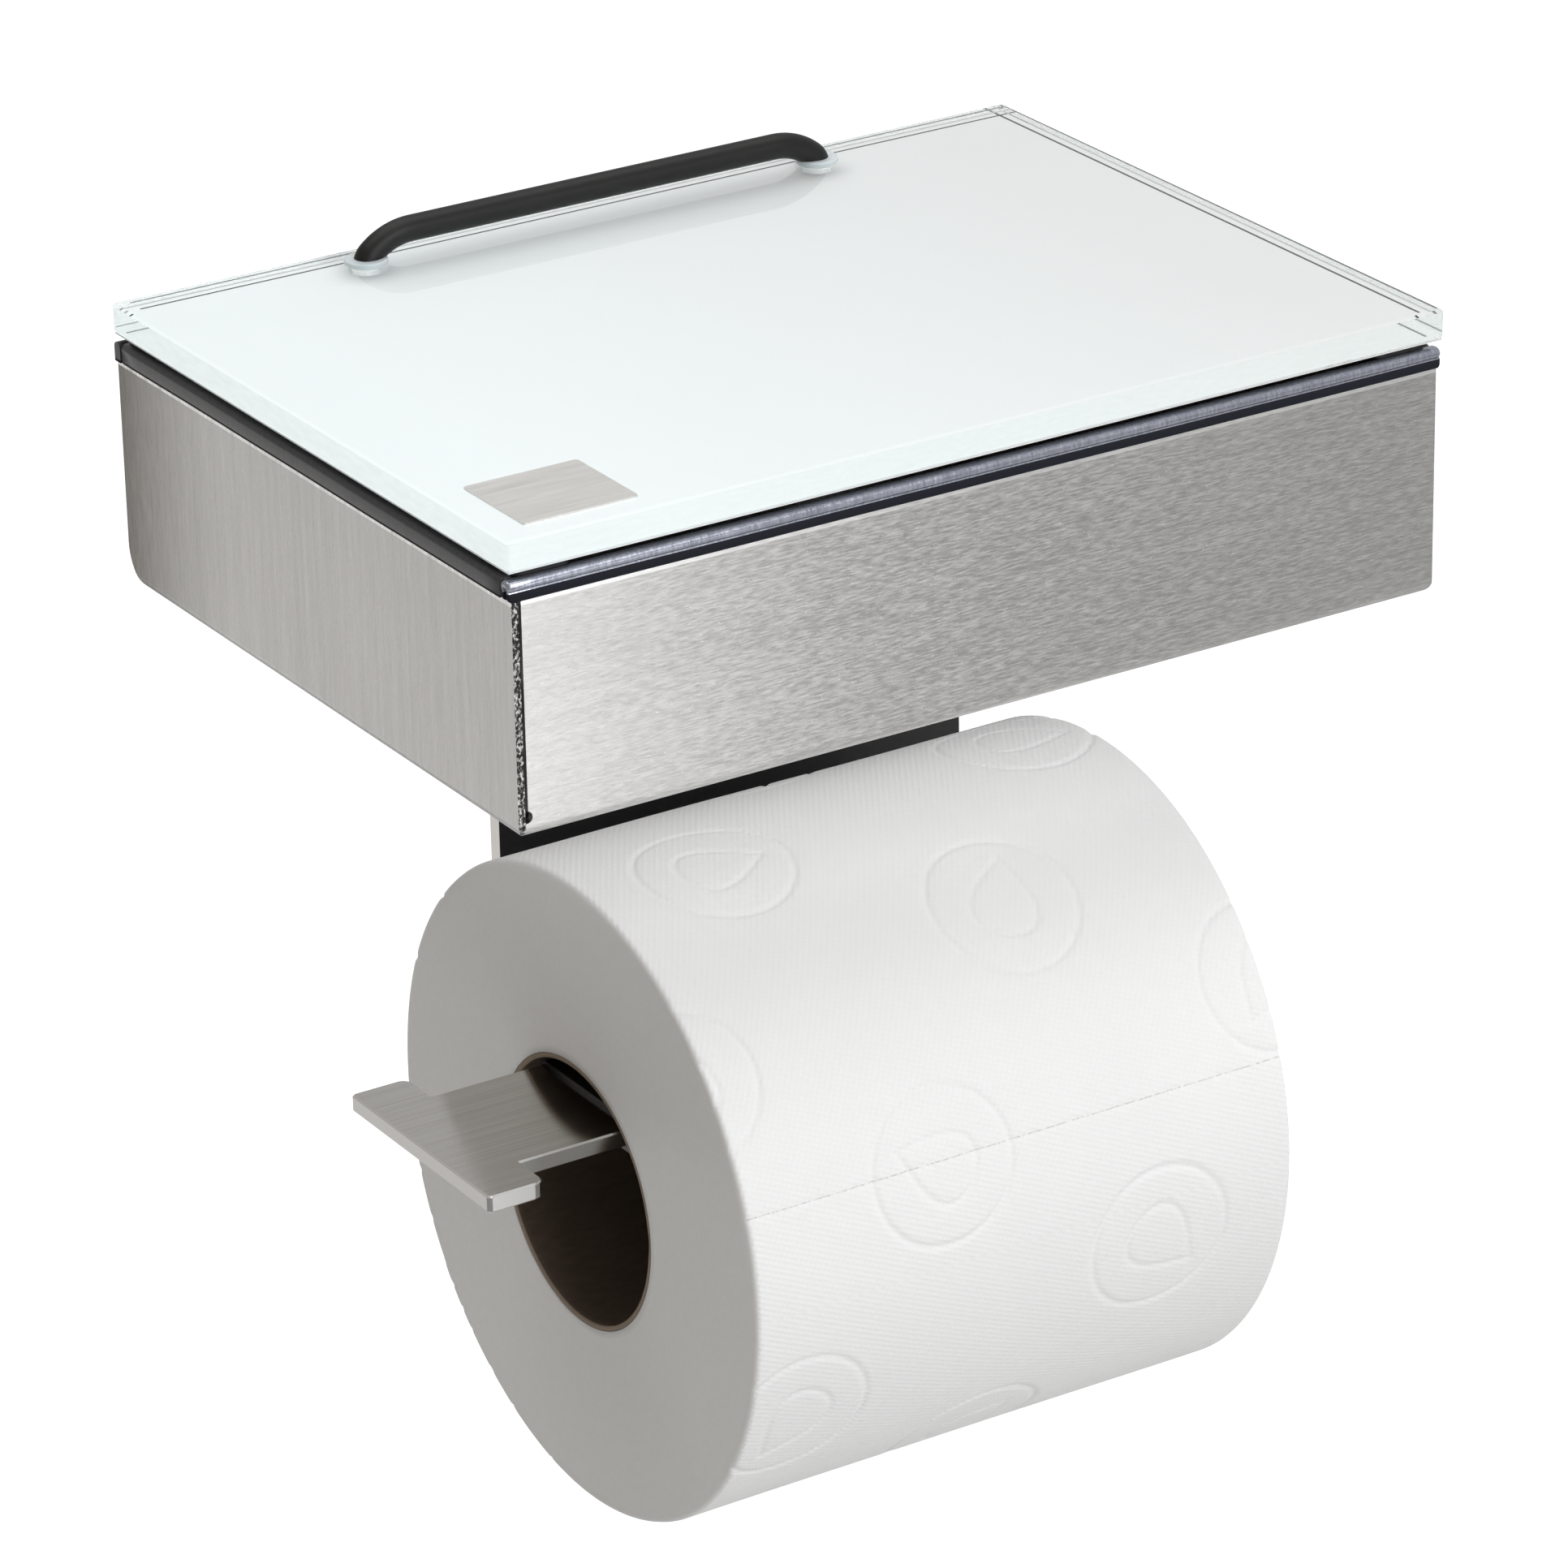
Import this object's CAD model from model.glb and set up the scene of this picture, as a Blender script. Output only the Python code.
import itertools
import math

import bpy
import numpy as np
from mathutils import Matrix, Vector


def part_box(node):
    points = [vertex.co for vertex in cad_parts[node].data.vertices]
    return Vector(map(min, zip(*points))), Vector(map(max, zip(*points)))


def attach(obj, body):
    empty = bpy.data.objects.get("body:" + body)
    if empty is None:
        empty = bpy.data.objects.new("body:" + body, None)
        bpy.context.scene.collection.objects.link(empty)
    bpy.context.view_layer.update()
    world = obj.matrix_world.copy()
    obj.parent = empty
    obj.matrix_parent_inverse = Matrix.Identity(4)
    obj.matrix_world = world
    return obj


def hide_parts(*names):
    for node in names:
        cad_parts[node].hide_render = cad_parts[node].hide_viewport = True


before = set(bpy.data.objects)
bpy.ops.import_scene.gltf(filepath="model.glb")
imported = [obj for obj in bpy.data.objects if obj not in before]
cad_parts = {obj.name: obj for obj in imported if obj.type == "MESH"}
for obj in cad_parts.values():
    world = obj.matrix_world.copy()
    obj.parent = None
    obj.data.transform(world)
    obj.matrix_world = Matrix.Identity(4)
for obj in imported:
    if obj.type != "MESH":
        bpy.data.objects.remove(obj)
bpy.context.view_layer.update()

MM = 0.001

# ---------------------------------------------------------------- places taken from the frame

SHELL_LOW, SHELL_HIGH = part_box("box_shell")
COAT_LOW, COAT_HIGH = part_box("lid_coat")
ROLL_LOW, ROLL_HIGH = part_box("paper_roll")
CORE_LOW, CORE_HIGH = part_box("roll_core")
TRIM_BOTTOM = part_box("rim_trim_front")[0].z
TRIM_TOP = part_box("rim_trim_front")[1].z
ROLL_LEFT = ROLL_LOW.x
ROLL_WIDTH = ROLL_HIGH.x - ROLL_LOW.x
ROLL_RADIUS = (ROLL_HIGH.z - ROLL_LOW.z) / 2
CORE_RADIUS = (CORE_HIGH.z - CORE_LOW.z) / 2
ROLL_Y = (ROLL_HIGH.y + ROLL_LOW.y) / 2
ROLL_Z = (ROLL_HIGH.z + ROLL_LOW.z) / 2

# ---------------------------------------------------------------- camera

CAMERA_AIM = Vector((-8.2, -77.0, -54.1)) * MM
CAMERA_AZIMUTH = math.radians(-31.93)
CAMERA_ELEVATION = math.radians(23.92)
CAMERA_ROLL = math.radians(-1.14)
CAMERA_DISTANCE = 1.181
CAMERA_LENS = 166.3
CAMERA_SENSOR = 36.0
CAMERA_FAR_END = 100


def add_camera():
    """Long lens from the front left and above, turned by a slight roll."""
    flat = math.cos(CAMERA_ELEVATION)
    back = Vector((
        math.sin(CAMERA_AZIMUTH) * flat,
        -math.cos(CAMERA_AZIMUTH) * flat,
        math.sin(CAMERA_ELEVATION),
    ))
    data = bpy.data.cameras.new("camera")
    data.lens = CAMERA_LENS
    data.sensor_width = CAMERA_SENSOR
    data.clip_end = CAMERA_FAR_END
    camera = bpy.data.objects.new("camera", data)
    bpy.context.scene.collection.objects.link(camera)
    turn = (-back).to_track_quat("-Z", "Y").to_matrix() @ Matrix.Rotation(CAMERA_ROLL, 3, "Z")
    camera.matrix_world = Matrix.Translation(CAMERA_AIM + back * CAMERA_DISTANCE) @ turn.to_4x4()
    bpy.context.scene.camera = camera


# ---------------------------------------------------------------- light and floor

FLOOR_LEVEL = -0.75
FLOOR_SIZE = 16.0
FLOOR_ROUGHNESS = 0.95
FLOOR_BOUNCE = 0.6
FLOOR_PALE = 0.97
FLOOR_GLOW = 0.46
WORLD_LEFT = (0.32, 0.305, 0.285)
WORLD_RIGHT = (0.58, 0.585, 0.59)
BACKDROP = (0.97, 0.97, 0.97)
WHITE_LIGHT = (1, 1, 1)
WARM_LIGHT = (1, 0.97, 0.93)
OBJECT_MIDDLE = (0, -0.08, -0.06)


def aim(obj, place, target):
    """Puts a lamp at place and turns it to look at target."""
    place = Vector(place)
    direction = Vector(target) - place
    turn = direction.to_track_quat("-Z", "Y").to_matrix().to_4x4()
    obj.matrix_world = Matrix.Translation(place) @ turn


def add_softbox(name, place, target, width, height, power, colour=WHITE_LIGHT):
    """Rectangular lamp that the camera does not see; sizes in metres, power in watts."""
    data = bpy.data.lights.new(name, "AREA")
    data.shape = "RECTANGLE"
    data.size = width
    data.size_y = height
    data.energy = power
    data.color = colour
    lamp = bpy.data.objects.new(name, data)
    bpy.context.scene.collection.objects.link(lamp)
    lamp.visible_camera = False
    aim(lamp, place, target)


def add_floor():
    """Matt floor that the camera sees paler than it lights the object from below."""
    half = FLOOR_SIZE / 2
    mesh = bpy.data.meshes.new("floor")
    corners = [(-half, -half), (half, -half), (half, half), (-half, half)]
    mesh.from_pydata([(x, y, FLOOR_LEVEL) for x, y in corners], [], [(0, 1, 2, 3)])
    floor = bpy.data.objects.new("floor", mesh)
    bpy.context.scene.collection.objects.link(floor)
    material = bpy.data.materials.new("pale_floor")
    material.use_nodes = True
    nodes = material.node_tree.nodes
    links = material.node_tree.links
    shader = nodes["Principled BSDF"]
    shader.inputs["Roughness"].default_value = FLOOR_ROUGHNESS
    path = nodes.new("ShaderNodeLightPath")
    albedo = nodes.new("ShaderNodeMapRange")
    albedo.inputs["To Min"].default_value = FLOOR_BOUNCE
    albedo.inputs["To Max"].default_value = FLOOR_PALE
    links.new(path.outputs["Is Camera Ray"], albedo.inputs["Value"])
    links.new(albedo.outputs["Result"], shader.inputs["Base Color"])
    shader.inputs["Emission Color"].default_value = (*WHITE_LIGHT, 1)
    glow = nodes.new("ShaderNodeMapRange")
    glow.inputs["To Min"].default_value = 0.0
    glow.inputs["To Max"].default_value = FLOOR_GLOW
    links.new(path.outputs["Is Camera Ray"], glow.inputs["Value"])
    links.new(glow.outputs["Result"], shader.inputs["Emission Strength"])
    mesh.materials.append(material)


def add_world():
    """Soft surroundings, dimmer on the left than on the right."""
    world = bpy.data.worlds.new("studio")
    bpy.context.scene.world = world
    world.use_nodes = True
    nodes = world.node_tree.nodes
    links = world.node_tree.links
    place = nodes.new("ShaderNodeTexCoord")
    split = nodes.new("ShaderNodeSeparateXYZ")
    links.new(place.outputs["Generated"], split.inputs[0])
    across = nodes.new("ShaderNodeMapRange")
    across.inputs["From Min"].default_value = -1.0
    links.new(split.outputs["X"], across.inputs["Value"])
    tint = nodes.new("ShaderNodeMix")
    tint.data_type = "RGBA"
    links.new(across.outputs["Result"], tint.inputs["Factor"])
    tint.inputs["A"].default_value = (*WORLD_LEFT, 1)
    tint.inputs["B"].default_value = (*WORLD_RIGHT, 1)
    path = nodes.new("ShaderNodeLightPath")
    seen = nodes.new("ShaderNodeMix")
    seen.data_type = "RGBA"
    links.new(path.outputs["Is Camera Ray"], seen.inputs["Factor"])
    links.new(tint.outputs["Result"], seen.inputs["A"])
    seen.inputs["B"].default_value = (*BACKDROP, 1)
    background = nodes["Background"]
    links.new(seen.outputs["Result"], background.inputs["Color"])
    background.inputs["Strength"].default_value = 1.0


def add_lights():
    """Front lamps, one large lamp above, a warm one behind, and a small one between box and roll."""
    add_softbox("key", (0.10, -0.9, 0.5), OBJECT_MIDDLE, 0.5, 0.5, 3.0)
    add_softbox("low_key", (0.06, -1.15, 0.29), OBJECT_MIDDLE, 0.6, 0.3, 1.5)
    add_softbox("strip", (0.28, -0.9, -0.32), OBJECT_MIDDLE, 0.12, 0.5, 0.5)
    add_softbox("fill", (0.02, -1.4, 0.06), OBJECT_MIDDLE, 0.7, 0.4, 1.5)
    add_softbox("top", (0.1, 0.3, 2.2), (0, 0.2, 0), 2.6, 2.6, 38)
    add_softbox("back_card", (-0.65, 0.95, -0.58), (-0.08, -0.06, -0.05), 0.9, 0.6, 0.9, WARM_LIGHT)
    add_softbox("under_box", (0, -0.068, -0.028), (0, -0.068, -0.1), 0.15, 0.06, 0.018)


# ---------------------------------------------------------------- node helpers

class Shader:
    """A material's node tree with short ways to add the nodes used here."""

    def __init__(self, name):
        self.material = bpy.data.materials.new(name)
        self.material.use_nodes = True
        self.nodes = self.material.node_tree.nodes
        self.links = self.material.node_tree.links
        self.surface = self.nodes["Principled BSDF"]
        self.place = self.nodes.new("ShaderNodeTexCoord")

    def set(self, **values):
        """Plain numbers straight on the surface's inputs."""
        for key, value in values.items():
            self.surface.inputs[key.replace("_", " ")].default_value = value
        return self

    def scaled(self, scale):
        """Object coordinates, in metres, multiplied along each axis."""
        mapping = self.nodes.new("ShaderNodeMapping")
        mapping.inputs["Scale"].default_value = scale
        self.links.new(self.place.outputs["Object"], mapping.inputs["Vector"])
        return mapping.outputs["Vector"]

    def noise(self, scale, detail, roughness):
        """Noise with that many swings per metre along each axis."""
        texture = self.nodes.new("ShaderNodeTexNoise")
        texture.inputs["Scale"].default_value = 1.0
        texture.inputs["Detail"].default_value = detail
        texture.inputs["Roughness"].default_value = roughness
        self.links.new(self.scaled(scale), texture.inputs["Vector"])
        return texture.outputs["Fac"]

    def spread(self, value, low, high, start=0.0, end=1.0):
        """Value between start and end, mapped to low and high and clamped there."""
        node = self.nodes.new("ShaderNodeMapRange")
        node.inputs["From Min"].default_value = start
        node.inputs["From Max"].default_value = end
        node.inputs["To Min"].default_value = low
        node.inputs["To Max"].default_value = high
        self.links.new(value, node.inputs["Value"])
        return node.outputs["Result"]

    def maths(self, operation, a, b=None):
        """One Math node; a and b are numbers or outputs of other nodes."""
        node = self.nodes.new("ShaderNodeMath")
        node.operation = operation
        for socket, value in zip(node.inputs, (a, b)):
            if value is None:
                continue
            if isinstance(value, (int, float)):
                socket.default_value = value
            else:
                self.links.new(value, socket)
        return node.outputs[0]

    def blend(self, factor, a, b, colour=True):
        """a where factor is 0, b where it is 1."""
        node = self.nodes.new("ShaderNodeMix")
        node.data_type = "RGBA" if colour else "FLOAT"
        kind = "RGBA" if colour else "VALUE"
        first, second = [s for s in node.inputs if s.type == kind][-2:]
        self.links.new(factor, node.inputs[0])
        for socket, value in ((first, a), (second, b)):
            if isinstance(value, tuple):
                socket.default_value = (*value, 1)
            elif isinstance(value, (float, int)):
                socket.default_value = value
            else:
                self.links.new(value, socket)
        return [s for s in node.outputs if s.type == kind][0]

    def along(self, axis, source="Object"):
        """One coordinate of the place, or of the normal."""
        split = self.nodes.new("ShaderNodeSeparateXYZ")
        self.links.new(self.place.outputs[source], split.inputs[0])
        return split.outputs[axis]

    def facing(self, axis, threshold=0.7):
        """1 where the face looks along that axis, either way."""
        return self.maths("GREATER_THAN", self.maths("ABSOLUTE", self.along(axis, "Normal")), threshold)

    def let_light_through(self, tint):
        """Lamps' light and diffuse rays pass straight through; other rays meet the surface."""
        path = self.nodes.new("ShaderNodeLightPath")
        through = self.maths("MAXIMUM", path.outputs["Is Shadow Ray"], path.outputs["Is Diffuse Ray"])
        clear = self.nodes.new("ShaderNodeBsdfTransparent")
        clear.inputs["Color"].default_value = (*tint, 1)
        mix = self.nodes.new("ShaderNodeMixShader")
        self.links.new(through, mix.inputs[0])
        self.links.new(self.surface.outputs[0], mix.inputs[1])
        self.links.new(clear.outputs[0], mix.inputs[2])
        self.links.new(mix.outputs[0], self.nodes["Material Output"].inputs["Surface"])

    def drive(self, name, source):
        """Links a node's output to one of the surface's inputs."""
        self.links.new(source, self.surface.inputs[name])

    def colour(self, source):
        """Links the surface's colour."""
        self.drive("Base Color", source)

    def rough(self, source):
        """Links the surface's roughness."""
        self.drive("Roughness", source)

    def bump(self, height, distance, strength=1.0):
        """Adds a bump on top of the ones before it."""
        node = self.nodes.new("ShaderNodeBump")
        node.inputs["Distance"].default_value = distance
        node.inputs["Strength"].default_value = strength
        self.links.new(height, node.inputs["Height"])
        before = self.surface.inputs["Normal"].links
        if before:
            self.links.new(before[0].from_socket, node.inputs["Normal"])
        self.drive("Normal", node.outputs["Normal"])


def dress(node, material):
    """Puts one material on a CAD node."""
    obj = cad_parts[node]
    obj.data.materials.clear()
    obj.data.materials.append(material)


# ---------------------------------------------------------------- materials

STEEL_LIGHT = (0.745, 0.74, 0.73)
STEEL_DARK = (0.555, 0.55, 0.54)
STEEL_FLECK = (0.95, 0.94, 0.92)
STEEL_REAR = (0.23, 0.22, 0.205)
STEEL_BRIGHT = (1.0, 1.0, 1.0)
BURR_DARK = (0.04, 0.04, 0.04)
BURR_LIGHT = (0.85, 0.84, 0.82)
REAR_SHADE_START = -42 * MM
BRIGHT_LINE_START = TRIM_BOTTOM - 0.85 * MM
CUT_EDGE_END = SHELL_LOW.x + 1.25 * MM
SIDE_LIP_HEIGHT = 0.45 * MM
FRONT_LIP_HEIGHT = 1.45 * MM
COAT_LINE_COLOUR = (0.05, 0.055, 0.055)
COAT_LINE_INSET = 1.5 * MM
COAT_LINE_HALF_WIDTH = 0.25 * MM
COAT_LINE_START = 4.0 * MM
EMBLEM_DARK = (0.70, 0.69, 0.67)
EMBLEM_LIGHT = (0.77, 0.76, 0.74)
DOT_ROWS = ((math.radians(75), 1.25 * MM), (math.radians(-20), 1.4 * MM))
SLIT_COLOUR = (0.62, 0.62, 0.62)


def grain_direction(shader, mask, elsewhere, where_masked):
    """Sets the tangent, across the brushing, to one of two plain directions."""
    directions = []
    for vector in (elsewhere, where_masked):
        node = shader.nodes.new("ShaderNodeCombineXYZ")
        for socket, value in zip(node.inputs, vector):
            socket.default_value = value
        directions.append(node.outputs[0])
    choice = shader.nodes.new("ShaderNodeMix")
    choice.data_type = "VECTOR"
    shader.links.new(mask, choice.inputs["Factor"])
    inputs = [socket for socket in choice.inputs if socket.type == "VECTOR" and socket.name in "AB"]
    for direction, socket in zip(directions, inputs):
        shader.links.new(direction, socket)
    output = [socket for socket in choice.outputs if socket.type == "VECTOR"][0]
    shader.drive("Tangent", output)


def brushed_colour(shader, sides, strokes, lines):
    """Fine strokes, long lines, a slow cloud and flecks; darker at the wall, bright below the trim."""
    cloud = shader.noise((11, 11, 16), 2, 0.5)
    tone = shader.maths("ADD", shader.maths("MULTIPLY", strokes, 0.65), shader.maths("MULTIPLY", lines, 0.2))
    tone = shader.maths("ADD", tone, shader.maths("MULTIPLY", cloud, 0.15))
    brushed = shader.blend(shader.spread(tone, 0, 1, 0.40, 0.60), STEEL_DARK, STEEL_LIGHT)
    fleck = shader.noise((1500, 2600, 2600), 1, 0.5)
    brushed = shader.blend(shader.spread(fleck, 0, 0.5, 0.70, 0.78), brushed, STEEL_FLECK)
    rear = shader.spread(shader.along("Y"), 0, 1, REAR_SHADE_START, SHELL_HIGH.y)
    rear = shader.maths("MULTIPLY", shader.maths("POWER", rear, 1.8), sides)
    brushed = shader.blend(rear, brushed, STEEL_REAR)
    lip = shader.maths("GREATER_THAN", shader.along("Z"), BRIGHT_LINE_START)
    lip = shader.maths("MULTIPLY", lip, shader.spread(lines, 0.5, 1, 0.35, 0.6))
    return shader.blend(lip, brushed, STEEL_BRIGHT)


def box_steel():
    """Stainless sheet brushed along the front and up the sides, with a burr on the front's cut edge."""
    shader = Shader("box_steel").set(Metallic=1.0, Anisotropic=0.85)
    sides = shader.facing("X")
    grain_direction(shader, sides, (0, 0, 1), (0, 1, 0))
    strokes_front = shader.noise((420, 3800, 3800), 3, 0.6)
    strokes_sides = shader.noise((3800, 3800, 190), 3, 0.6)
    strokes = shader.blend(sides, strokes_front, strokes_sides, colour=False)
    lines_front = shader.noise((28, 900, 900), 3, 0.6)
    lines_sides = shader.noise((900, 900, 28), 3, 0.6)
    lines = shader.blend(sides, lines_front, lines_sides, colour=False)
    cut = shader.maths("LESS_THAN", shader.along("X"), CUT_EDGE_END)
    cut = shader.maths("MULTIPLY", cut, shader.facing("Y"))
    burr = shader.noise((2200, 2200, 1600), 2, 0.6)
    torn = shader.blend(shader.spread(burr, 0, 1, 0.46, 0.66), BURR_DARK, BURR_LIGHT)
    shader.colour(shader.blend(cut, brushed_colour(shader, sides, strokes, lines), torn))
    shader.rough(shader.spread(strokes, 0.28, 0.44, 0.35, 0.65))
    shader.bump(shader.maths("MULTIPLY", burr, cut), 0.4 * MM, 0.8)
    shader.bump(strokes, 0.05 * MM, 0.6)
    shader.bump(lines, 0.03 * MM, 0.3)
    return shader.material


def arm_steel():
    """Glossy brushed plate, plainer and darker on its polished edges."""
    shader = Shader("arm_steel").set(Metallic=1.0)
    streaks = shader.noise((25, 2400, 2400), 4, 0.6)
    cloud = shader.noise((40, 40, 40), 2, 0.5)
    level = shader.maths("ABSOLUTE", shader.along("Z", "Normal"))
    flat = shader.maths("GREATER_THAN", level, 0.95)
    chamfer = shader.maths("SUBTRACT", shader.maths("GREATER_THAN", level, 0.3), flat)
    tone = shader.blend(shader.spread(streaks, 0, 1, 0.3, 0.7), (0.56, 0.54, 0.515), (0.72, 0.70, 0.67))
    edge = shader.blend(chamfer, (0.46, 0.455, 0.445), (0.90, 0.89, 0.875))
    shader.colour(shader.blend(flat, edge, tone))
    shader.rough(shader.blend(flat, 0.2, shader.spread(cloud, 0.13, 0.19, 0.3, 0.7), colour=False))
    shader.bump(shader.maths("MULTIPLY", streaks, flat), 0.02 * MM, 0.5)
    return shader.material


def fastener_steel():
    """Plain zinc-grey steel."""
    shader = Shader("fastener_steel").set(Metallic=1.0)
    grain = shader.noise((900, 900, 900), 3, 0.6)
    shader.colour(shader.blend(grain, (0.5, 0.5, 0.5), (0.68, 0.67, 0.66)))
    shader.rough(shader.spread(grain, 0.2, 0.38, 0.3, 0.7))
    shader.bump(grain, 0.03 * MM, 0.5)
    return shader.material


def trim_finish(name, lip_height, lip, dark, light, metallic):
    """Rubber trim with a black lip along its lower edge and a paler bead above it."""
    shader = Shader(name).set(Specular_IOR_Level=0.2)
    bead = shader.maths("GREATER_THAN", shader.along("Z"), TRIM_BOTTOM + lip_height)
    across = shader.noise((2400, 2400, 90), 3, 0.6)
    dust = shader.noise((700, 700, 700), 3, 0.6)
    tone = shader.blend(shader.spread(across, 0, 1, 0.3, 0.7), dark, light)
    shader.colour(shader.blend(bead, lip, tone))
    shader.drive("Metallic", shader.maths("MULTIPLY", bead, metallic))
    shader.rough(shader.blend(bead, 0.75, shader.spread(dust, 0.18, 0.27, 0.3, 0.7), colour=False))
    shader.bump(across, 0.03 * MM, 0.5)
    shader.bump(dust, 0.02 * MM, 0.4)
    return shader.material


def trim_front():
    """Blue-grey bead with a metallic sheen."""
    lip, dark, light = (0.010, 0.011, 0.018), (0.30, 0.32, 0.38), (0.52, 0.54, 0.62)
    return trim_finish("trim_front", FRONT_LIP_HEIGHT, lip, dark, light, 0.85)


def trim_sides():
    """Dark grey bead without sheen."""
    lip, dark, light = (0.008, 0.008, 0.009), (0.062, 0.062, 0.066), (0.078, 0.078, 0.083)
    return trim_finish("trim_sides", SIDE_LIP_HEIGHT, lip, dark, light, 0.0)


def lid_glass():
    """Clear polished glass with a faint mint tint and a little haze in its ground edges."""
    shader = Shader("lid_glass").set(IOR=1.5)
    film = shader.noise((14, 14, 14), 2, 0.5)
    smear = shader.noise((35, 60, 35), 4, 0.6)
    edge = shader.maths("LESS_THAN", shader.maths("ABSOLUTE", shader.along("Z", "Normal")), 0.3)
    clear = shader.blend(film, (0.982, 0.997, 0.994), (0.988, 0.999, 0.996))
    haze = shader.noise((240, 240, 900), 3, 0.5)
    mint = shader.blend(haze, (0.89, 0.965, 0.95), (0.92, 0.98, 0.965))
    shader.colour(shader.blend(edge, clear, mint))
    hazy_edge = shader.spread(haze, 0.76, 0.84, 0.3, 0.7)
    shader.drive("Transmission Weight", shader.blend(edge, 1.0, hazy_edge, colour=False))
    shader.rough(shader.blend(edge, shader.spread(smear, 0.0, 0.003, 0.45, 0.8), 0.05, colour=False))
    shader.let_light_through((0.965, 0.985, 0.98))
    return shader.material


def coat_line(shader, axis, edge, other_axis, other_edge):
    """1 on the narrow line inside one edge of the coat, which starts a little way along it."""
    off = shader.maths("SUBTRACT", shader.along(axis), edge - COAT_LINE_INSET)
    band = shader.maths("LESS_THAN", shader.maths("ABSOLUTE", off), COAT_LINE_HALF_WIDTH)
    begun = shader.maths("GREATER_THAN", shader.along(other_axis), other_edge + COAT_LINE_START)
    return shader.maths("MULTIPLY", band, begun)


def white_coat():
    """White lacquer, a trace bluer towards the left, with a dark line inside its right and rear edges."""
    shader = Shader("white_coat").set(Specular_IOR_Level=0.3)
    cloud = shader.noise((20, 20, 20), 3, 0.5)
    left = shader.blend(cloud, (0.855, 0.894, 0.908), (0.880, 0.914, 0.928))
    right = shader.blend(cloud, (0.730, 0.735, 0.740), (0.760, 0.765, 0.770))
    across = shader.spread(shader.along("X"), 0, 1, -70 * MM, 70 * MM)
    right_line = coat_line(shader, "X", COAT_HIGH.x, "Y", COAT_LOW.y)
    rear_line = coat_line(shader, "Y", COAT_HIGH.y, "X", COAT_LOW.x)
    line = shader.maths("MAXIMUM", right_line, rear_line)
    shader.colour(shader.blend(line, shader.blend(across, left, right), COAT_LINE_COLOUR))
    grain = shader.noise((1800, 1800, 1800), 2, 0.5)
    shader.rough(shader.spread(grain, 0.5, 0.65))
    shader.bump(grain, 0.01 * MM, 0.5)
    return shader.material


def pad_silicone():
    """Black rubber of the lid's pads and guides."""
    shader = Shader("pad_silicone").set(Specular_IOR_Level=0.4)
    grain = shader.noise((900, 900, 900), 3, 0.5)
    shader.colour(shader.blend(grain, (0.008, 0.008, 0.008), (0.016, 0.016, 0.017)))
    shader.rough(shader.spread(grain, 0.45, 0.6))
    shader.bump(grain, 0.02 * MM, 0.5)
    return shader.material


def emblem_metal():
    """Plain brushed plate."""
    shader = Shader("emblem_metal").set(Metallic=1.0)
    streaks = shader.noise((60, 3000, 3000), 3, 0.6)
    shader.colour(shader.blend(shader.spread(streaks, 0, 1, 0.3, 0.7), EMBLEM_DARK, EMBLEM_LIGHT))
    shader.rough(shader.spread(streaks, 0.42, 0.55, 0.3, 0.7))
    shader.bump(streaks, 0.02 * MM, 0.4)
    shader.let_light_through((1, 1, 1))
    return shader.material


def handle_black():
    """Black lacquer with a fine grain."""
    shader = Shader("handle_black").set(Specular_IOR_Level=0.25)
    grain = shader.noise((2200, 2200, 2200), 3, 0.6)
    cloud = shader.noise((60, 60, 60), 2, 0.5)
    shader.colour(shader.blend(cloud, (0.008, 0.008, 0.008), (0.014, 0.0135, 0.013)))
    shader.rough(shader.spread(grain, 0.36, 0.5, 0.3, 0.7))
    shader.bump(grain, 0.02 * MM, 0.5)
    return shader.material


def washer_plastic():
    """Milky clear plastic."""
    shader = Shader("washer_plastic").set(Transmission_Weight=0.45, IOR=1.46, Subsurface_Weight=0.2)
    cloud = shader.noise((500, 500, 500), 2, 0.5)
    shader.colour(shader.blend(cloud, (0.86, 0.89, 0.9), (0.94, 0.95, 0.96)))
    shader.rough(shader.spread(cloud, 0.15, 0.3))
    return shader.material


def hanger_black():
    """Black powder coat, bare at the plate's cut side edges."""
    shader = Shader("hanger_black")
    peel = shader.noise((900, 900, 900), 3, 0.55)
    cut = shader.facing("X", 0.9)
    scratches = shader.noise((3000, 3000, 60), 3, 0.6)
    shader.colour(shader.blend(cut, (0.008, 0.008, 0.009), (0.62, 0.61, 0.59)))
    shader.drive("Metallic", cut)
    coat_rough = shader.spread(peel, 0.45, 0.6, 0.3, 0.7)
    shader.rough(shader.blend(cut, coat_rough, shader.spread(scratches, 0.25, 0.4), colour=False))
    shader.bump(peel, 0.06 * MM, 0.5)
    return shader.material


def sleeve_plastic():
    """Black plastic, half glossy."""
    shader = Shader("sleeve_plastic").set(Specular_IOR_Level=0.5)
    grain = shader.noise((1500, 1500, 1500), 3, 0.6)
    shader.colour(shader.blend(grain, (0.008, 0.008, 0.008), (0.018, 0.018, 0.018)))
    shader.rough(shader.spread(grain, 0.3, 0.45))
    shader.bump(grain, 0.02 * MM, 0.5)
    return shader.material


def dot_row(shader, turn, pitch):
    """Waves across the unrolled paper, turned that far from the roll's axis."""
    mapping = shader.nodes.new("ShaderNodeMapping")
    mapping.inputs["Rotation"].default_value = (0, 0, turn)
    shader.links.new(shader.place.outputs["UV"], mapping.inputs["Vector"])
    split = shader.nodes.new("ShaderNodeSeparateXYZ")
    shader.links.new(mapping.outputs["Vector"], split.inputs[0])
    return shader.maths("SINE", shader.maths("MULTIPLY", split.outputs["X"], 2 * math.pi / pitch))


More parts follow.
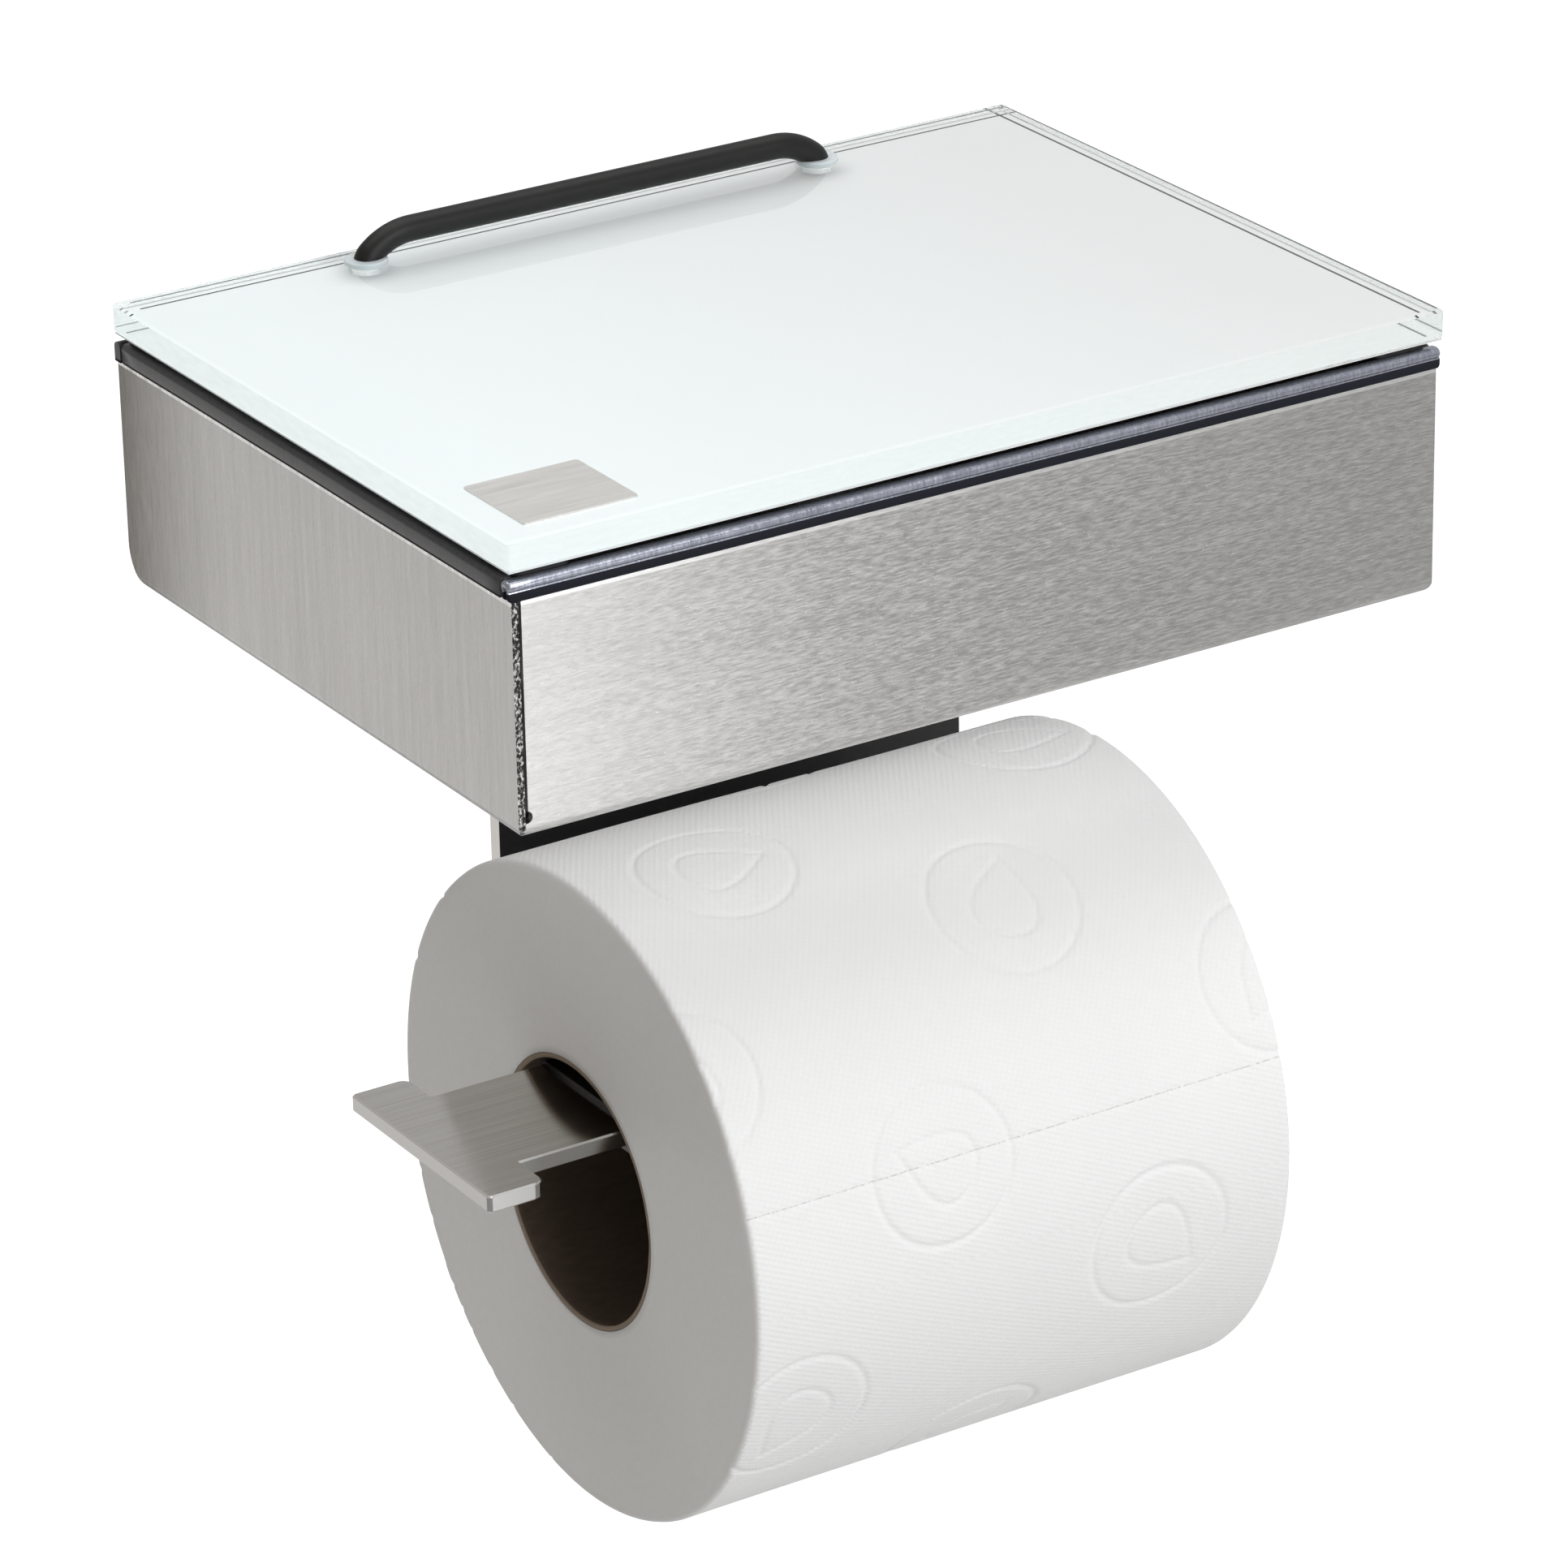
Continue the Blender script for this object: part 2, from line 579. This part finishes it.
def perforation_mask(shader):
    """1 in the slits between the sheets, broken up along the line."""
    turned = shader.maths("SUBTRACT", shader.along("Y", "UV"), PERFORATION_PLACE - SHEET_LENGTH / 2)
    away = shader.maths("SUBTRACT", shader.maths("FLOORED_MODULO", turned, SHEET_LENGTH), SHEET_LENGTH / 2)
    slit = shader.maths("LESS_THAN", shader.maths("ABSOLUTE", away), SLIT_WIDTH / 2)
    dashes = shader.noise((1500, 60, 60), 2, 0.6)
    return shader.maths("MULTIPLY", slit, shader.spread(dashes, 0, 1, 0.35, 0.6))


def paper():
    """White tissue: fine slanting rows of embossed dots, fibres, and wound layers at the ends."""
    shader = Shader("paper").set(Specular_IOR_Level=0.15, Sheen_Weight=0.25, Sheen_Roughness=0.6)
    ends = shader.facing("X", 0.8)
    dots = shader.maths("MULTIPLY", *[dot_row(shader, turn, pitch) for turn, pitch in DOT_ROWS])
    fibre = shader.noise((700, 700, 700), 4, 0.65)
    cloud = shader.noise((45, 45, 45), 3, 0.5)
    side = shader.blend(cloud, (0.84, 0.84, 0.845), (0.875, 0.875, 0.875))
    side = shader.blend(perforation_mask(shader), side, SLIT_COLOUR)
    layers = shader.noise((30, 1100, 1100), 3, 0.6)
    end = shader.blend(layers, (0.765, 0.76, 0.745), (0.83, 0.825, 0.81))
    shader.colour(shader.blend(ends, side, end))
    shader.rough(shader.spread(fibre, 0.85, 1.0))
    shader.bump(shader.blend(ends, dots, 0.0, colour=False), 0.05 * MM, 0.8)
    shader.bump(fibre, 0.06 * MM, 0.6)
    return shader.material


def cardboard():
    """Dark inside the tube, paler on its cut ends."""
    shader = Shader("cardboard").set(Specular_IOR_Level=0.15)
    fibre = shader.noise((300, 900, 900), 4, 0.6)
    wall = shader.blend(fibre, (0.070, 0.050, 0.036), (0.125, 0.094, 0.070))
    cut = shader.blend(fibre, (0.24, 0.19, 0.145), (0.34, 0.28, 0.22))
    shader.colour(shader.blend(shader.facing("X", 0.6), wall, cut))
    shader.rough(shader.spread(fibre, 0.8, 0.95))
    shader.bump(fibre, 0.08 * MM, 0.6)
    return shader.material


# ---------------------------------------------------------------- mesh helpers

def closed_grid(name, points, uvs=None, round_length=0.0, cap=False):
    """Mesh of a grid of points that wraps round both ways, or is capped at its first and last rows.

    round_length is how much the second texture coordinate gains in one turn along a row.
    """
    rows, columns = points.shape[:2]
    here = np.arange(rows * columns).reshape(rows, columns)
    down = np.roll(here, -1, 0)
    if cap:
        here, down = here[:-1], down[:-1]
    right = np.roll(here, -1, 1)
    down_right = np.roll(down, -1, 1)
    quads = np.stack([here, down, down_right, right], -1).reshape(-1, 4)
    mesh = bpy.data.meshes.new(name)
    faces = quads.tolist()
    if cap:
        faces.append(list(range(columns)))
        faces.append(list(range((rows - 1) * columns, rows * columns))[::-1])
    mesh.from_pydata(points.reshape(-1, 3).tolist(), [], faces)
    if uvs is not None:
        layer = mesh.uv_layers.new(name="UVMap")
        corner = uvs.reshape(-1, 2)[quads].astype(np.float32)
        last_column = quads[:, 0] % columns == columns - 1
        corner[last_column, 2:, 1] += round_length
        layer.data.foreach_set("uv", corner.reshape(-1))
    mesh.polygons.foreach_set("use_smooth", [True] * len(mesh.polygons))
    mesh.update()
    obj = bpy.data.objects.new(name, mesh)
    bpy.context.scene.collection.objects.link(obj)
    return obj


def around_roll_axis(x, radius, angle):
    """Points at those places along the roll's axis, at those radii and angles up from the front."""
    return np.stack([x, ROLL_Y - radius * np.cos(angle), ROLL_Z + radius * np.sin(angle)], -1)


# ---------------------------------------------------------------- roll

ROUND_LENGTH = 2 * math.pi * ROLL_RADIUS
SHEETS_ROUND = 3
SHEET_LENGTH = ROUND_LENGTH / SHEETS_ROUND
PERFORATION_PLACE = 18.0 * MM
PERFORATION_DEPTH = 0.2 * MM
PERFORATION_HALF_WIDTH = 0.4 * MM
DASH_SPACING = 1.6 * MM
SLIT_WIDTH = 0.22 * MM

# Embossed rings on a slanting lattice; places are (from the roll's left end, up round it from its front)
RING_RADIUS = 13.2 * MM
RING_START = (23.5 * MM, 81.0 * MM)
RING_STEP_A = (41.0 * MM, -24.5 * MM)
RING_STEP_B = (-27.5 * MM, -39.5 * MM)
RING_REACH = 14                # lattice steps each way that cover the whole roll
LINE_WIDTH = 0.48 * MM
LINE_DEPTH = 0.38 * MM
DROP_LENGTH = 15.5 * MM
DROP_WIDTH = 12.8 * MM
DROP_SHIFT = 1.4 * MM
DROP_FULLNESS = 1.25           # makes up for the taper towards the drop's tip
DROP_TAPER = 1.3
DROP_SHARE = 0.85              # depth of the drop's line against the ring's

TAIL_ANGLE = math.radians(215)
LAYER_STEP = 0.3 * MM
OUTER_ALLOWANCE = 0.25 * MM    # keeps the dents and swells inside the plain cylinder
DENT_DEPTH = 0.07 * MM
PAPER_AROUND = 900
PAPER_ALONG = 260
PAPER_EDGE_RADIUS = 0.9 * MM
PAPER_HOLE = CORE_RADIUS + 0.03 * MM
END_RINGS = 22
END_DIP = 0.25 * MM
END_LAYER_RIPPLE = 0.10 * MM
END_TURN_RIPPLE = 0.08 * MM
HOLE_INSET = 0.1 * MM

CORE_AROUND = 160
CORE_ALONG = 90
CORE_INSET = 0.2 * MM
CORE_WALL = 0.9 * MM
CORE_CLEARANCE = 0.02 * MM
SEAM_PITCH = 62 * MM
SEAM_HEIGHT = 0.18 * MM
SEAM_HALF_WIDTH = 0.9 * MM


def drop_turn(a, b):
    """Each ring's drop points its own way."""
    return math.radians(66 * a + 86 * b + 50 * a * (a - 1))


def drop_outline(turn, count=160):
    """Points of a plain drop in a ring, its tip turned that far from the roll's axis."""
    t = np.linspace(0, 2 * math.pi, count, endpoint=False)
    along = DROP_SHIFT + DROP_LENGTH / 2 * np.cos(t)
    across = DROP_WIDTH / 2 * np.sin(t) * np.sin(t / 2) ** DROP_TAPER * DROP_FULLNESS
    c, s = math.cos(turn), math.sin(turn)
    return np.stack([along * c - across * s, along * s + across * c], 1)


def emboss_depth(x, arc):
    """How deep the embossed lines are pressed at each point of the roll's unrolled outside."""
    depth = np.zeros_like(x)
    tail = TAIL_ANGLE * ROLL_RADIUS
    steps = range(-RING_REACH, RING_REACH + 1)
    for a, b in itertools.product(steps, steps):
        cx = RING_START[0] + a * RING_STEP_A[0] + b * RING_STEP_B[0]
        cy = RING_START[1] + a * RING_STEP_A[1] + b * RING_STEP_B[1]
        inside = -RING_RADIUS < cx < ROLL_WIDTH + RING_RADIUS
        if not inside or not tail - ROUND_LENGTH <= cy < tail:
            continue
        dy = (arc - cy + ROUND_LENGTH / 2) % ROUND_LENGTH - ROUND_LENGTH / 2
        dx = x - cx
        near = np.hypot(dx, dy) < RING_RADIUS + 3 * LINE_WIDTH
        outline = drop_outline(drop_turn(a, b))
        px, py = dx[near], dy[near]
        ring = np.abs(np.hypot(px, py) - RING_RADIUS)
        drop = np.min(np.hypot(px[:, None] - outline[:, 0], py[:, None] - outline[:, 1]), axis=1)
        line = np.exp(-(ring / LINE_WIDTH) ** 2) + DROP_SHARE * np.exp(-(drop / LINE_WIDTH) ** 2)
        depth[near] = np.maximum(depth[near], np.minimum(line, 1) * LINE_DEPTH)
    return depth


def perforation_depth(x, arc):
    """Narrow dashed grooves between the sheets."""
    away = (arc - PERFORATION_PLACE + SHEET_LENGTH / 2) % SHEET_LENGTH - SHEET_LENGTH / 2
    dash = 0.65 + 0.35 * np.sign(np.sin(x / DASH_SPACING))
    return PERFORATION_DEPTH * dash * np.exp(-(away / PERFORATION_HALF_WIDTH) ** 2)


def unevenness(x, angle):
    """Slow dents and swells of a soft wound roll."""
    broad = np.sin(3 * angle + 40 * x)
    crossing = 0.7 * np.sin(7 * angle - 65 * x + 1)
    along = 0.6 * np.sin(95 * x + 2 * angle)
    return DENT_DEPTH * (broad + crossing + along)


def paper_outside(x, angle):
    """Radius of the roll's outside at each place along it and each angle."""
    rim = np.clip(1 - np.minimum(x, ROLL_WIDTH - x) / PAPER_EDGE_RADIUS, 0, 1)
    grid_x, grid_angle = np.meshgrid(x, angle, indexing="ij")
    arc = grid_angle * ROLL_RADIUS
    since_tail = (grid_angle - TAIL_ANGLE) % (2 * math.pi)
    radius = ROLL_RADIUS - OUTER_ALLOWANCE - LAYER_STEP * (since_tail / (2 * math.pi)) + 0.5 * LAYER_STEP
    radius = radius - emboss_depth(grid_x, arc) - perforation_depth(grid_x, arc)
    radius = radius + unevenness(grid_x, grid_angle)
    return grid_x, radius - PAPER_EDGE_RADIUS * (1 - np.sqrt(1 - rim[:, None] ** 2))


def paper_end(outer_radius, angle, start, side):
    """Rings of one end face, wavy by a fraction of a millimetre, from the outside in."""
    shares = np.linspace(0, 1, END_RINGS + 2)[1:-1]
    ring_radius = outer_radius[None] * (1 - shares[:, None]) + PAPER_HOLE * shares[:, None]
    ripple = END_LAYER_RIPPLE * np.sin(ring_radius / MM * 2.3)
    ripple = ripple + END_TURN_RIPPLE * np.sin(5 * angle + ring_radius / MM * 0.7)
    dip = END_DIP * np.sin(math.pi * shares)[:, None]
    return ring_radius, start - side * (np.abs(ripple) + dip)


def make_paper():
    """Closed mesh: the outside from left to right, the right end, the hole and the left end."""
    angle = np.linspace(0, 2 * math.pi, PAPER_AROUND, endpoint=False)
    grid_x, radius = paper_outside(np.linspace(0, ROLL_WIDTH, PAPER_ALONG), angle)
    roll_right = ROLL_LEFT + ROLL_WIDTH
    right_radius, right_x = paper_end(radius[-1], angle, roll_right, 1)
    left_radius, left_x = paper_end(radius[0], angle, ROLL_LEFT, -1)
    inner_radius = np.full((2, PAPER_AROUND), PAPER_HOLE)
    inner_x = np.repeat([[roll_right - HOLE_INSET], [ROLL_LEFT + HOLE_INSET]], PAPER_AROUND, axis=1)
    all_radius = np.concatenate([radius, right_radius, inner_radius, left_radius[::-1]])
    all_x = np.concatenate([ROLL_LEFT + grid_x, right_x, inner_x, left_x[::-1]])
    turn = np.broadcast_to(angle, all_radius.shape)
    unrolled = np.stack([all_x, turn * ROLL_RADIUS], -1)
    points = around_roll_axis(all_x, all_radius, angle)
    roll = closed_grid("embossed_roll", points, unrolled, ROUND_LENGTH)
    roll.data.materials.append(paper())
    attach(roll, "roll")
    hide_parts("paper_roll")


def make_core():
    """Cardboard tube with the spiral seam of its winding."""
    angle = np.linspace(0, 2 * math.pi, CORE_AROUND, endpoint=False)
    x = np.linspace(CORE_INSET, ROLL_WIDTH - CORE_INSET, CORE_ALONG)
    grid_x, grid_angle = np.meshgrid(x, angle, indexing="ij")
    phase = (grid_x / SEAM_PITCH - grid_angle / (2 * math.pi)) % 1.0
    from_seam = np.minimum(phase, 1 - phase) * SEAM_PITCH
    seam = SEAM_HEIGHT * np.exp(-(from_seam / SEAM_HALF_WIDTH) ** 2)
    outer = np.full(grid_x.shape, CORE_RADIUS - CORE_CLEARANCE)
    inner = CORE_RADIUS - CORE_WALL + seam
    all_radius = np.concatenate([outer, inner[::-1]])
    all_x = np.concatenate([grid_x, grid_x[::-1]]) + ROLL_LEFT
    core = closed_grid("cardboard_core", around_roll_axis(all_x, all_radius, angle))
    core.data.materials.append(cardboard())
    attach(core, "roll")
    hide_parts("roll_core")


# ---------------------------------------------------------------- rubber edge trim

SHEET = 1.2 * MM
SLOT_TOP = 2.25 * MM
BEAD_RADIUS = 1.0 * MM
BEAD_OUTER = 0.5 * MM
BEAD_INNER = -2.0 * MM
BEAD_START = 235               # degrees of the bead's arc, from its inner side over the top
BEAD_END_GROOVED = -56
BEAD_END_PLAIN = -6
BEAD_STEP = -10
TRIM_GROOVE = [(0.36, 1.38), (0.46, 1.18)]                                  # section points in millimetres
TRIM_OUTER_LIP = [(0.48, 0.25), (0.36, 0.0), (0.0, 0.0)]
TRIM_INNER_LEG = [(-1.65, 0.0), (-1.80, 0.25), (-1.80, 1.15), (-1.72, 1.38)]
TRIM_ROUND_OFF = 0.5 * MM
TRIM_FIRST_STEP = 0.15 * MM
TRIM_STEP = 4 * MM
TRIM_FEWEST_STEPS = 8
TRIM_END_SHRINK = 0.22
TRIM_REACH = 0.6 * MM          # how far the front strip reaches past the box's sides
TRIM_JOINT = SHEET + 0.9 * MM  # where the side strips meet the front and the rear one


def trim_profile(grooved):
    """Section of the trim: (outward from the sheet's outer face, up from the trim's lower edge)."""
    centre_v = TRIM_TOP - TRIM_BOTTOM - BEAD_RADIUS
    bead = []
    for degrees in range(BEAD_START, BEAD_END_GROOVED if grooved else BEAD_END_PLAIN, BEAD_STEP):
        a = math.radians(degrees)
        centre_u = BEAD_INNER + BEAD_RADIUS if degrees > 90 else BEAD_OUTER - BEAD_RADIUS
        bead.append((centre_u + BEAD_RADIUS * math.cos(a), centre_v + BEAD_RADIUS * math.sin(a)))
    slot = [(0.0, SLOT_TOP / MM), (-SHEET / MM, SLOT_TOP / MM), (-SHEET / MM, 0.0)]
    groove = TRIM_GROOVE if grooved else []
    outline = [(u * MM, v * MM) for u, v in groove + TRIM_OUTER_LIP + slot + TRIM_INNER_LEG]
    return np.array(outline + bead)


def make_trim(name, start, end, outward, material, grooved):
    """Strip of the trim's section from start to end, with slightly wavy run and rounded ends."""
    start, end, outward = Vector(start), Vector(end), Vector(outward)
    profile = trim_profile(grooved)
    run = end - start
    length = run.length
    direction = run.normalized()
    count = max(TRIM_FEWEST_STEPS, int(length / TRIM_STEP))
    inner_steps = np.linspace(TRIM_ROUND_OFF, length - TRIM_ROUND_OFF, count)
    steps = [0.0, TRIM_FIRST_STEP] + inner_steps.tolist() + [length - TRIM_FIRST_STEP, length]
    middle = np.array([profile[:, 0].mean(), profile[:, 1].mean()])
    rows = []
    for step in steps:
        to_end = min(step, length - step)
        shrink = 1.0 - TRIM_END_SHRINK * (1 - min(1.0, to_end / TRIM_ROUND_OFF)) ** 2
        sway = 0.04 * MM * math.sin(step / (17 * MM)) + 0.03 * MM * math.sin(step / (6 * MM) + 1)
        section = middle + (profile - middle) * shrink
        here = start + direction * step
        rows.append([here + outward * (u + sway) + Vector((0, 0, v)) for u, v in section])
    points = np.array([[tuple(p) for p in row] for row in rows])
    strip = closed_grid(name, points, cap=True)
    strip.data.materials.append(material)
    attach(strip, "holder")
    return strip


def make_trims(front_finish, side_finish):
    """The front strip and the two side strips; the hidden rear one stays as it is in the frame."""
    left, right, front, level = SHELL_LOW.x, SHELL_HIGH.x, SHELL_LOW.y, TRIM_BOTTOM
    first, last = front + TRIM_JOINT, -TRIM_JOINT
    far_left, far_right = left - TRIM_REACH, right + TRIM_REACH
    strips = {
        "rim_trim_front": ((far_left, front, level), (far_right, front, level), (0, -1, 0)),
        "rim_trim_left": ((left, first, level), (left, last, level), (-1, 0, 0)),
        "rim_trim_right": ((right, first, level), (right, last, level), (1, 0, 0)),
    }
    for node, (start, end, outward) in strips.items():
        grooved = node == "rim_trim_front"
        finish = front_finish if grooved else side_finish
        strip = make_trim("soft_" + node, start, end, outward, finish, grooved)
        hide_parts(node)


# ---------------------------------------------------------------- build

COAT_BOND = 0.03 * MM   # the coat reaches this far into the glass, so that no face lies on another


def dress_frame_nodes(rubber):
    """Gives each CAD node that stays visible its material."""
    fastener = fastener_steel()
    washer = washer_plastic()
    silicone = pad_silicone()
    finishes = {
        "box_shell": box_steel(),
        "roll_arm": arm_steel(),
        "rim_trim_back": rubber,
        "hanger_plate": hanger_black(),
        "arm_sleeve": sleeve_plastic(),
        "lid_glass": lid_glass(),
        "lid_coat": white_coat(),
        "lid_pads": silicone,
        "lid_guides": silicone,
        "emblem_plate": emblem_metal(),
        "lid_handle": handle_black(),
        "handle_washers_upper": washer,
        "handle_washers_lower": washer,
    }
    for node in ("hanger_screws", "hanger_nuts", "arm_screws", "arm_nuts", "handle_nuts"):
        finishes[node] = fastener
    for node, material in finishes.items():
        dress(node, material)


def thicken_coat():
    """Presses the coat a little way into the glass."""
    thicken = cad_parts["lid_coat"].modifiers.new("bonded_to_glass", "DISPLACE")
    thicken.mid_level = 0
    thicken.strength = COAT_BOND


def main():
    bpy.context.scene.view_settings.view_transform = "Standard"
    add_camera()
    add_world()
    add_floor()
    add_lights()
    rubber = trim_sides()
    dress_frame_nodes(rubber)
    thicken_coat()
    make_trims(trim_front(), rubber)
    make_paper()
    make_core()


main()
